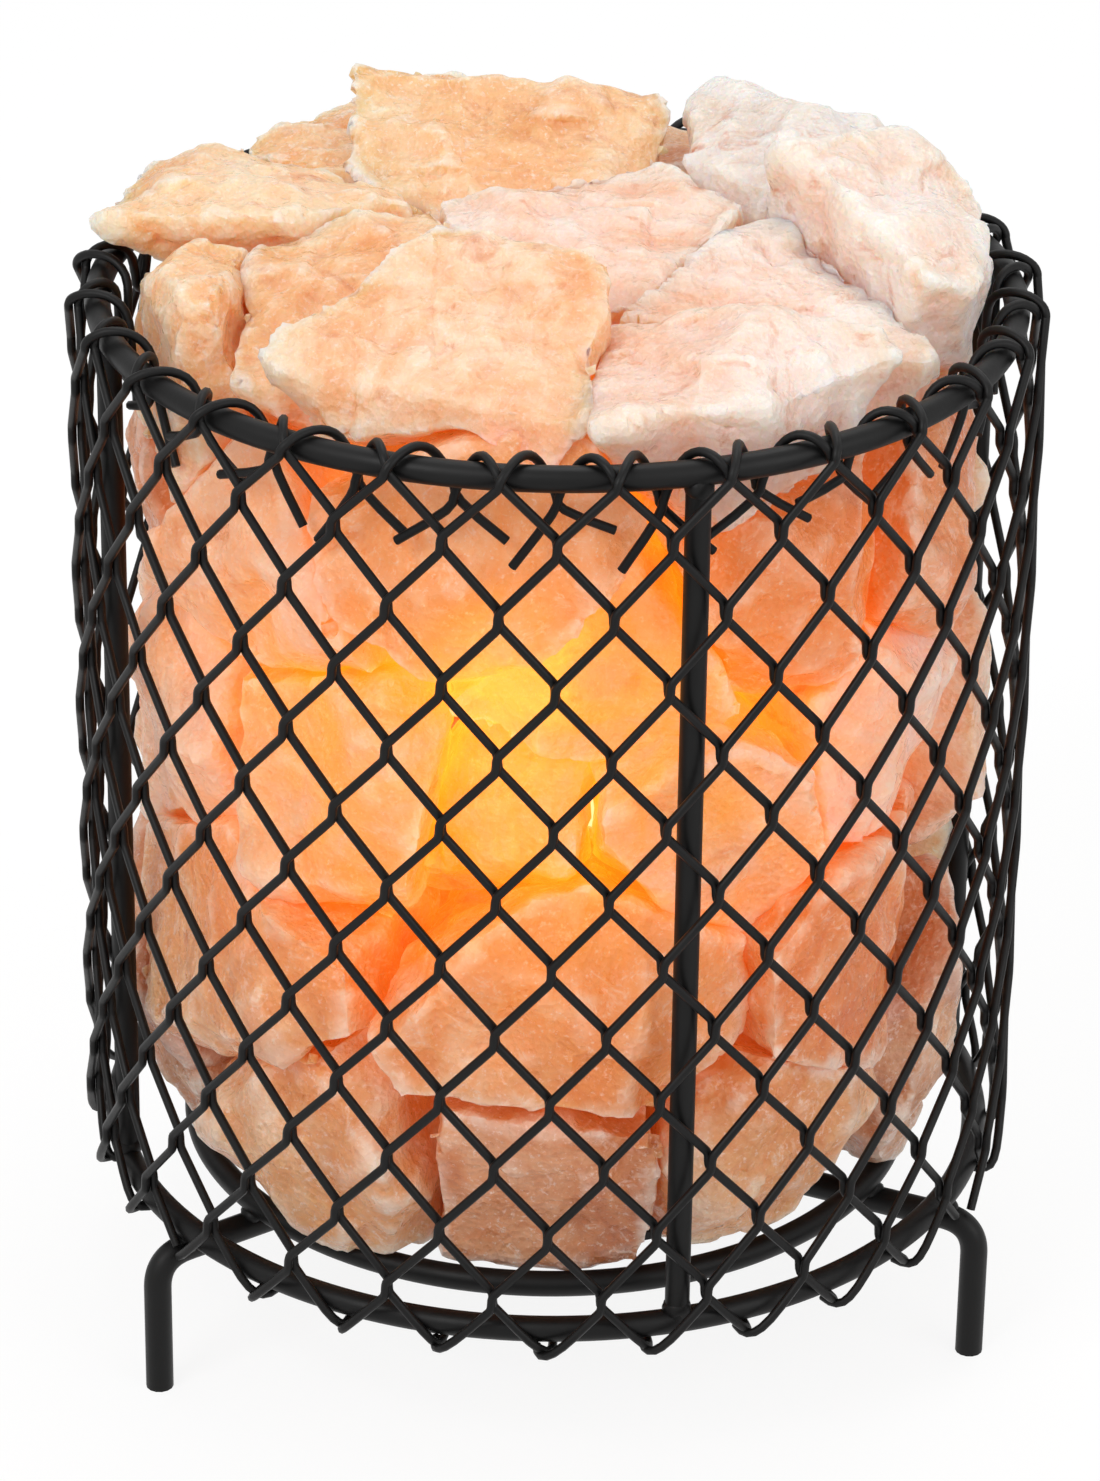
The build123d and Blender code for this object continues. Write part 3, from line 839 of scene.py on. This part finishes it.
class LAMP_OT_mesh(bpy.types.Operator):
    """Mesh of two layers of wire that cross in diamonds, fold over the top ring and end in cut tails"""

    bl_idname = "lamp.mesh"
    bl_label = "Wire mesh"

    def strand(self, sizes, radius, turn, azimuth, random):
        """The route of one wire from the bottom ring up, over the rim and down inside."""
        half = 180 / sizes.diamonds
        run = 2.4 * MM
        rounding = 1.3 * MM
        foot_rise = 7.2 * MM
        foot_drop = 1.9 * MM
        lowest = sizes.base_height + foot_rise
        highest = sizes.rim_height - 9.7 * MM
        row = (highest - lowest) / (CROSSINGS - 1)
        # The wires run side by side at every crossing, and hardly at all on the rim
        bends = [(lowest + row * step, run) for step in range(CROSSINGS)]
        bends.append((sizes.rim_height + 0.5 * MM, 0.8 * MM))
        below = (foot_rise + foot_drop - run / 2) / (row - run)
        route = []
        foot = azimuth - turn * half * below
        clear = min(abs((foot - leg + 180) % 360 - 180) for leg in LEGS)
        # A hook under the bottom ring, where no leg is within 4 degrees
        if clear > 4:
            lag = foot - turn * half * random.uniform(0.15, 0.35)
            route.append(polar(lag, radius - 4.6 * MM, sizes.base_height - 3.1 * MM))
            route.append(polar(lag, radius - 1.6 * MM, sizes.base_height - 3.6 * MM))
        route.append(polar(foot, radius, sizes.base_height - foot_drop))
        before = None
        for step, (height, beside) in enumerate(bends):
            at = azimuth + turn * half * step
            low = polar(at, radius, height - beside / 2)
            high = polar(at, radius, height + beside / 2)
            came_from = before or route[-1]
            route.append(low + (came_from - low).normalized() * rounding)
            if before:
                route.insert(-1, before + (low - before).normalized() * rounding)
            route.append(low)
            route.append(high)
            before = high
        last = azimuth + turn * half * CROSSINGS
        over = radius - sizes.ring_radius
        lift = random.uniform(2.4, 2.9) * MM
        # The loop over the ring: share of half a diamond on, share of the radius out, share of the lift up
        loop = ((0.08, 0.88, 0.62), (0.22, 0.36, 1.1), (0.42, -0.42, 1.06), (0.66, -1.0, 0.16))
        for share, out, up in loop:
            spot = last + turn * half * share
            route.append(
                polar(spot, sizes.ring_radius + over * out, sizes.rim_height + 0.4 * MM + lift * up)
            )
        inside = last + turn * half
        inner = sizes.ring_radius - over
        drop = sizes.rim_height - random.uniform(5.2, 6.8) * MM
        route.append(polar(inside, inner, drop + run / 2))
        route.append(polar(inside, inner, drop - run / 2))
        length = random.uniform(9.2, 11.8) * MM
        dip = math.radians(random.uniform(8, 62))
        swing = inside + turn * math.degrees(length * math.cos(dip) / inner)
        route.append(polar(swing, inner, drop - run / 2 - length * math.sin(dip)))
        return route

    def execute(self, context):
        sizes = context.scene.basket_sizes
        random = Random(4)
        inner_layer = sizes.ring_radius + sizes.ring_rod / 2 + 1.0 * MM
        layers = (("mesh_inner", inner_layer, -1), ("mesh_outer", inner_layer + sizes.wire, 1))
        for node, radius, turn in layers:
            routes = []
            for number in range(sizes.diamonds):
                azimuth = FIRST_CROSSING + number * 360 / sizes.diamonds
                routes.append(self.strand(sizes, radius, turn, azimuth, random))
            wires = round_wire(routes, sizes.wire / 2, 2, 3)
            settle(wires, "coated_" + node, "basket", powder_coat(), "mesh_black", node)
        return {"FINISHED"}


class LAMP_OT_salt(bpy.types.Operator):
    """Lumps of rock salt, broken and pitted, each with its own tint"""

    bl_idname = "lamp.salt"
    bl_label = "Rock salt"

    # Pale, usual and deep colour of the clouds, and the share of light that enters
    tints = {
        "peach_salt": ("#F2C69C", "#E6A56C", "#D58443", 0.5),
        "pale_salt": ("#F7DAC0", "#F2C7A2", "#E6A877", 0.6),
        "amber_salt": ("#F8D6AE", "#F2BC84", "#E39A4E", 0.7),
        "rose_salt": ("#E3AC84", "#CE8757", "#B26235", 0.4),
        "blush_salt": ("#FAEADF", "#F6DAC8", "#EFBF9F", 0.85),
        "white_salt": ("#F9EFE8", "#F4E2D6", "#EDCBB2", 0.85),
        "clear_salt": ("#F1ECE8", "#E6DCD4", "#E4CCB6", 0.95),
        "rust_salt": ("#F0B284", "#E68C4C", "#CE6427", 0.4),
        "cream_salt": ("#F9E2C6", "#F3CDA4", "#E9AC70", 0.85),
        "honey_salt": ("#FBD7AE", "#F8C08A", "#EFA35C", 0.8),
    }
    # By the lumps of the photo; those at the back take the first four tints in turn
    chosen = {
        "salt_top_back": "amber_salt",
        "salt_top_left": "honey_salt",
        "salt_top_front_left": "cream_salt",
        "salt_top_inner_left": "amber_salt",
        "salt_top_middle": "blush_salt",
        "salt_top_back_right": "clear_salt",
        "salt_top_right": "white_salt",
        "salt_top_inner_right": "white_salt",
        "salt_top_front_right": "white_salt",
        "salt_top_far_left": "honey_salt",
        "salt_top_back_left": "amber_salt",
        "salt_top_far_back": "peach_salt",
        "salt_high_left": "pale_salt",
        "salt_high_front_left": "peach_salt",
        "salt_high_front": "amber_salt",
        "salt_high_front_right": "rust_salt",
        "salt_high_right": "rust_salt",
        "salt_high_back": "rose_salt",
        "salt_mid_far_left": "pale_salt",
        "salt_mid_left": "amber_salt",
        "salt_mid_front": "amber_salt",
        "salt_mid_front_right": "pale_salt",
        "salt_mid_right": "blush_salt",
        "salt_mid_far_right": "pale_salt",
        "salt_mid_back": "rust_salt",
        "salt_low_left": "peach_salt",
        "salt_low_front": "peach_salt",
        "salt_low_right": "rust_salt",
        "salt_bottom_left": "peach_salt",
        "salt_bottom_front": "rose_salt",
        "salt_bottom_right": "peach_salt",
        "salt_bottom_far_right": "rose_salt",
        "salt_bottom_back": "amber_salt",
    }

    # Corners to move: place and reach, then the shift, in millimetres
    drawn_out = {
        "salt_top_back": (((-26, 47, 200), 8, (-9, 0, 0)), ((-31, 22, 196), 12, (-5, 0, 0))),
        "salt_top_front_left": (((0, -64, 191), 11, (5, 0, -11)), ((6, -45, 192), 4, (1, 0, -7))),
        "salt_top_left": (((-51, 27, 192), 3, (-2, 2, 2)), ((-59.5, 34, 184), 3, (0, 0, 4))),
    }

    # Faces to break off: a place in millimetres, the azimuth that the face slopes down to, and its slope
    broken_off = {
        "salt_top_back": (((-5, 57, 203), 5, 26),),
        "salt_top_back_left": (((-39, 50, 188), -90, 5),),
        "salt_top_left": (((-53, 28, 192.5), 0, 3),),
        "salt_top_front_left": (((-20, -22, 200), -8, 25), ((-20, -57, 182), -12, 72)),
        "salt_top_inner_left": (((-30, 5, 191), -30, 14),),
        "salt_top_middle": (((10, 25, 194), 0, 9),),
        "salt_top_inner_right": (((35, 5, 191), 30, 12),),
        "salt_top_front_right": (((38, -30, 194), 28, 22), ((38, -30, 194), -70, 14)),
        "salt_top_right": (((60, -5, 193), 70, 24),),
        "salt_top_back_right": (((48, 38, 196), 60, 22),),
    }

    def draw_out(self, rock, place, reach, shift):
        """Move the corners within reach of a place, all in millimetres."""
        bpy.ops.object.mode_set(mode="EDIT")
        bpy.ops.mesh.select_mode(type="VERT")
        bpy.ops.mesh.select_all(action="DESELECT")
        bpy.ops.object.mode_set(mode="OBJECT")
        for corner in rock.data.vertices:
            corner.select = (corner.co - Vector(place) * MM).length < reach * MM
        bpy.ops.object.mode_set(mode="EDIT")
        bpy.ops.transform.translate(value=Vector(shift) * MM)
        bpy.ops.object.mode_set(mode="OBJECT")

    def break_off(self, place, azimuth, slope):
        """Take off what stands over a plane through a place that slopes down to an azimuth."""
        lean = math.radians(slope)
        bpy.ops.mesh.select_all(action="SELECT")
        bpy.ops.mesh.bisect(
            plane_co=Vector(place) * MM,
            plane_no=polar(azimuth, math.sin(lean), math.cos(lean)),
            use_fill=True,
            clear_outer=True,
        )

    def lump(self, name, looks, relief, random):
        """A broken lump from its plain block."""
        rock = merged_copy(name, "rock_" + name)
        for place, reach, shift in self.drawn_out.get(name, ()):
            self.draw_out(rock, place, reach, shift)
        bpy.ops.object.mode_set(mode="EDIT")
        for place, azimuth, slope in self.broken_off.get(name, ()):
            self.break_off(place, azimuth, slope)
        bpy.ops.object.mode_set(mode="OBJECT")
        skin = rock.modifiers.new("skin", "REMESH")
        skin.mode = "VOXEL"
        skin.voxel_size = looks.grain
        # Finer on the heap, which no mesh hides
        if "top" in name:
            skin.voxel_size = looks.grain * 0.75
        for label, texture, depth in relief:
            push = rock.modifiers.new(label, "DISPLACE")
            push.texture = texture
            push.texture_coords = "LOCAL"
            # Near the textures' mean, so that the lump keeps its size
            push.mid_level = 0.55
            push.strength = depth
            if label == "steps":
                soften = rock.modifiers.new("soften", "SMOOTH")
                soften.factor = 0.5
                soften.iterations = 2
        facets = rock.modifiers.new("facets", "DECIMATE")
        facets.ratio = looks.facets
        # Turned while the relief is cut, so that no two lumps break along the same grid
        spin = Matrix.Rotation(random.uniform(0, math.pi), 4, "Z")
        lean = Matrix.Rotation(random.uniform(0.2, 1.2), 4, "X")
        way = spin @ lean
        rock.data.transform(way)
        apply_all(rock)
        rock.data.transform(way.inverted())
        bpy.ops.object.shade_smooth_by_angle(angle=math.radians(30))
        return rock

    def execute(self, context):
        looks = context.scene.salt_looks
        swells = bpy.data.textures.new("uneven_faces", "CLOUDS")
        swells.noise_scale = 26 * MM
        swells.noise_depth = 2
        breaks = bpy.data.textures.new("shell_breaks", "VORONOI")
        breaks.noise_scale = 15 * MM
        breaks.noise_intensity = 1.2
        steps = bpy.data.textures.new("cleavage_steps", "CLOUDS")
        steps.noise_basis = "CELL_NOISE"
        steps.noise_scale = 11 * MM
        steps.noise_depth = 1
        chips = bpy.data.textures.new("small_breaks", "VORONOI")
        chips.noise_scale = 6 * MM
        chips.noise_intensity = 1.2
        pits = bpy.data.textures.new("small_pits", "CLOUDS")
        pits.noise_scale = 5 * MM
        pits.noise_depth = 2
        random = Random(7)
        relief = (
            ("swells", swells, looks.swell),
            ("steps", steps, looks.step),
            ("breaks", breaks, looks.scoop),
            ("chips", chips, looks.chip),
            ("pits", pits, looks.pitting),
        )
        common = list(self.tints)[:4]
        for number, name in enumerate(SALT):
            tint = self.chosen.get(name, common[number % 4])
            pale, body, deep, clear = self.tints[tint]
            # Heap and lower lumps get copies of each tint that differ in the strength of their painted glow
            heap = "top" in name
            glow = looks.heap_glow if heap else looks.glow
            label = ("heap_" if heap else "lit_") + tint
            stone = material_named(label, rock_salt, label, pale, body, deep, clear, glow)
            rock = self.lump(name, looks, relief, random)
            settle(rock, "rock_" + name, "basket", stone, "rock_salt", name)
        return {"FINISHED"}


class LAMP_OT_holder(bpy.types.Operator):
    """Base plate, lamp holder and bulb"""

    bl_idname = "lamp.holder"
    bl_label = "Holder and bulb"

    def moulded(self, node, rounding):
        """A moulded piece with the rounded edges that it leaves its tool with."""
        piece = merged_copy(node, "moulded_" + node)
        bpy.ops.object.mode_set(mode="EDIT")
        bpy.ops.mesh.select_all(action="SELECT")
        bpy.ops.mesh.dissolve_limited(angle_limit=math.radians(1))
        bpy.ops.object.mode_set(mode="OBJECT")
        edge = piece.modifiers.new("rounding", "BEVEL")
        edge.width = rounding
        edge.segments = 3
        edge.limit_method = "ANGLE"
        edge.angle_limit = math.radians(40)
        apply_all(piece)
        bpy.ops.object.shade_smooth_by_angle(angle=math.radians(35))
        return piece

    def flute(self, cap, sizes):
        """Cut the finger flutes round the cap's skirt."""
        low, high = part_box("holder_cap")
        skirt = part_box("holder_barrel")[1][0] + sizes.skirt_step
        # The skirt's middle is a little under the cap's
        middle = (low[2] + high[2]) / 2 - 1.25 * MM
        cutters = []
        for number in range(sizes.flutes):
            bpy.ops.object.select_all(action="DESELECT")
            bpy.ops.mesh.primitive_cylinder_add(
                vertices=16,
                radius=sizes.flute / 2,
                depth=high[2] - low[2] - 2 * sizes.flute_margin,
                location=polar(360 / sizes.flutes * (number + 0.5), skirt, middle),
            )
            cutters.append(bpy.context.object)
        cutter = join(cutters)
        cut = cap.modifiers.new("flutes", "BOOLEAN")
        cut.object = cutter
        cut.solver = "EXACT"
        apply_all(cap)
        bpy.data.objects.remove(cutter)

    def threaded(self, node, radius, pitch, wire):
        """A screw cap with the rounded thread rolled into its sleeve."""
        sleeve = merged_copy(node, "threaded_" + node)
        bpy.ops.object.shade_smooth_by_angle(angle=math.radians(35))
        low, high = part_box(node)
        bottom = low[2] + 2 * pitch
        top = high[2] - pitch
        points = round((top - bottom) / pitch * 12)
        route = [
            polar(30 * step, radius, bottom + (top - bottom) * step / points) for step in range(points + 1)
        ]
        return join([sleeve, round_wire([route], wire / 2, 3, 3)])

    def execute(self, context):
        sizes = context.scene.holder_sizes
        brass = material_named("drawn_brass", drawn_metal, "drawn_brass", "#B98F45", "#D8B468", 0.8)
        steel = material_named("spring_steel", drawn_metal, "spring_steel", "#8F9092", "#B9BBBE", 0.6)
        nickel = material_named(
            "nickelled_brass", drawn_metal, "nickelled_brass", "#9A968E", "#C9C5BC", 0.7
        )
        plastic = material_named("ivory_thermoset", moulded_plastic)
        finishes = {
            "base_plate": powder_coat(),
            "screw_shell": brass,
            "centre_contact": brass,
            "spring_clips": steel,
            "bulb_tip": steel,
            "bulb_insulator": material_named("black_pressed_glass", dark_glass),
            "bulb_glass": material_named("lit_bulb_glass", lit_glass),
            "bulb_stem": material_named("lit_bulb_glass", lit_glass),
            "bulb_filament": material_named("hot_filament", glowing_wire),
        }
        for node, finish in finishes.items():
            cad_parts[node].material_slots[0].material = finish
        cap = self.moulded("holder_cap", sizes.rounding)
        self.flute(cap, sizes)
        settle(cap, "moulded_holder_cap", "lamp_holder", plastic, "holder_plastic", "holder_cap")
        barrel = self.moulded("holder_barrel", sizes.rounding)
        settle(barrel, "moulded_holder_barrel", "lamp_holder", plastic, "holder_plastic", "holder_barrel")
        screw = self.threaded("bulb_screw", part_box("bulb_screw")[1][0] - 0.3 * MM, sizes.thread, 1.1 * MM)
        settle(screw, "threaded_bulb_screw", "bulb", nickel, "bulb_screw", "bulb_screw")
        return {"FINISHED"}


class LAMP_OT_stage(bpy.types.Operator):
    """White floor, soft studio lamps and the camera"""

    bl_idname = "lamp.stage"
    bl_label = "Stage"

    def seen_directly(self, tree):
        """One for rays from the camera, and for those that metal and glass pass on to it."""
        path = add_node(tree, "ShaderNodeLightPath")
        seen = path.outputs["Is Camera Ray"]
        for kind in ("Is Glossy Ray", "Is Transmission Ray"):
            either = add_node(tree, "ShaderNodeMath", {0: seen, 1: path.outputs[kind]}, operation="MAXIMUM")
            seen = either.outputs["Value"]
        return seen

    def execute(self, context):
        scene = context.scene
        looks = scene.stage_looks
        scene.view_settings.view_transform = "Standard"
        bpy.ops.object.select_all(action="DESELECT")
        bpy.ops.mesh.primitive_plane_add(size=4.0, location=(0, 0, 0))
        floor = context.object
        floor.name = "floor"
        paper, tree, output = new_material("white_paper")
        seen = self.seen_directly(tree)
        # White to the eye, with a share of the lamp's shadow left in it
        share = add_node(tree, "ShaderNodeMath", {0: seen, 1: 0.85}, operation="MULTIPLY")
        matt = add_node(tree, "ShaderNodeBsdfDiffuse", {"Color": linear("#F4F4F4")})
        white = add_node(tree, "ShaderNodeEmission", {"Color": linear("#FFFFFF"), "Strength": 1.03})
        mixed = add_node(
            tree,
            "ShaderNodeMixShader",
            {0: share.outputs["Value"], 1: matt.outputs["BSDF"], 2: white.outputs[0]},
        )
        # Seen through from below only
        under = add_node(tree, "ShaderNodeNewGeometry").outputs["Backfacing"]
        open_below = add_node(tree, "ShaderNodeBsdfTransparent")
        sheet = add_node(
            tree,
            "ShaderNodeMixShader",
            {0: under, 1: mixed.outputs["Shader"], 2: open_below.outputs["BSDF"]},
        )
        tree.links.new(sheet.outputs["Shader"], output.inputs["Surface"])
        floor.data.materials.append(paper)
        world = bpy.data.worlds.new("white_room")
        scene.world = world
        world.use_nodes = True
        tree = world.node_tree
        tree.nodes.clear()
        seen = self.seen_directly(tree)
        level = add_node(
            tree,
            "ShaderNodeMapRange",
            {"Value": seen, "To Min": 0.55 * looks.light, "To Max": 1.0},
        )
        sky = add_node(
            tree, "ShaderNodeBackground", {"Color": linear("#FFFFFF"), "Strength": level.outputs["Result"]}
        )
        add_node(tree, "ShaderNodeOutputWorld", {"Surface": sky.outputs["Background"]})
        # Place, width in metres and power in watts
        lamps = (
            ("key", (-0.8, -1.0, 1.2), 0.7, 10.5),
            ("fill", (1.0, -0.8, 0.7), 0.9, 5.0),
            ("top", (0.1, 0.5, 1.4), 0.8, 5.0),
        )
        aim = Vector((0, 0, 0.1))
        for name, place, size, power in lamps:
            bpy.ops.object.light_add(type="AREA", location=place)
            lamp = context.object
            lamp.name = name
            lamp.data.size = size
            lamp.data.energy = power * looks.light
            lamp.rotation_euler = (aim - Vector(place)).to_track_quat("-Z", "Y").to_euler()
        middle = Vector((0, 0, looks.middle))
        back = Vector((0, -math.cos(looks.pitch), math.sin(looks.pitch))) * looks.distance
        bpy.ops.object.camera_add(location=middle + back)
        camera = context.object
        camera.data.lens = looks.lens
        camera.data.sensor_width = 36
        turn = Matrix.Rotation(looks.aim_right, 4, "Z")
        tilt = Matrix.Rotation(math.pi / 2 - looks.pitch - looks.aim_down, 4, "X")
        roll = Matrix.Rotation(looks.roll, 4, "Z")
        camera.rotation_euler = (turn @ tilt @ roll).to_euler()
        camera.data.clip_start = 0.01
        scene.camera = camera
        return {"FINISHED"}


class LAMP_PT_panel(bpy.types.Panel):
    """The lamp's pieces in the order they are made"""

    bl_idname = "LAMP_PT_panel"
    bl_label = "Salt basket lamp"
    bl_space_type = "VIEW_3D"
    bl_region_type = "UI"
    bl_category = "Lamp"

    def draw(self, context):
        column = self.layout.column()
        for operator in OPERATORS:
            column.operator(operator.bl_idname)


OPERATORS = (LAMP_OT_rods, LAMP_OT_mesh, LAMP_OT_salt, LAMP_OT_holder, LAMP_OT_stage)
CLASSES = (BasketSizes, SaltLooks, HolderSizes, StageLooks) + OPERATORS + (LAMP_PT_panel,)


def register():
    for item in CLASSES:
        bpy.utils.register_class(item)
    bpy.types.Scene.basket_sizes = bpy.props.PointerProperty(type=BasketSizes)
    bpy.types.Scene.salt_looks = bpy.props.PointerProperty(type=SaltLooks)
    bpy.types.Scene.holder_sizes = bpy.props.PointerProperty(type=HolderSizes)
    bpy.types.Scene.stage_looks = bpy.props.PointerProperty(type=StageLooks)


def unregister():
    del bpy.types.Scene.stage_looks
    del bpy.types.Scene.holder_sizes
    del bpy.types.Scene.salt_looks
    del bpy.types.Scene.basket_sizes
    for item in reversed(CLASSES):
        bpy.utils.unregister_class(item)


def main():
    register()
    bpy.ops.lamp.rods()
    bpy.ops.lamp.mesh()
    bpy.ops.lamp.salt()
    bpy.ops.lamp.holder()
    bpy.ops.lamp.stage()


if __name__ == "__main__":
    main()
